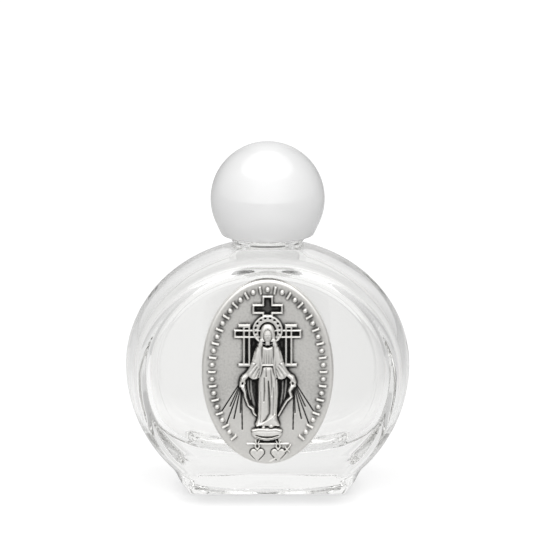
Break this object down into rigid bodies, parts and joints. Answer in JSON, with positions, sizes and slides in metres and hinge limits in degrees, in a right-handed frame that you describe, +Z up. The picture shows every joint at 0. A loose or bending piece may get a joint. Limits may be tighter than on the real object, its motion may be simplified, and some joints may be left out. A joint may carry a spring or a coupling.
{
  "type": "holy water bottle",
  "caption": "Flat oval clear glass bottle with a white ball-shaped screw cap and an oval antique-silver relief plaque on its front face.",
  "frame": {"origin": "where the neck axis meets the plane that the foot stands on", "axes": "+Z up along the neck, -Y out of the front face that carries the plaque, +X to the right seen from the front"},
  "size_m": [0.052, 0.0245, 0.0634],
  "materials": {
    "clear_glass": "clear moulded glass, gloss",
    "adhesive": "thin white adhesive film",
    "antique_silver": "antique silver, satin, with dark recesses",
    "white_gloss": "smooth white gloss",
    "white_plastic": "moulded white plastic, satin",
    "liner_foam": "closed-cell foam, matte"
  },
  "bodies": {
    "bottle": {"bottle": "clear_glass", "adhesive_pad": "adhesive", "plaque": "antique_silver"},
    "liner": {"cap_liner": "liner_foam"},
    "cap": {"cap_ball": "white_gloss", "cap_insert": "white_plastic"}
  },
  "joints": [
    {"name": "cap_rise", "type": "slide", "parent": "bottle", "child": "liner", "axis": [0, 0, 1], "range_m": [0, 0.00735]},
    {"name": "cap_turn", "type": "hinge", "parent": "liner", "child": "cap", "pos_m": [0, 0, 0.053], "axis": [0, 0, 1], "range_deg": [0, 1260]}
  ],
  "couplings": [
    {"joint": "cap_turn", "follows": "cap_rise", "rad_per_m": 2992}
  ]
}
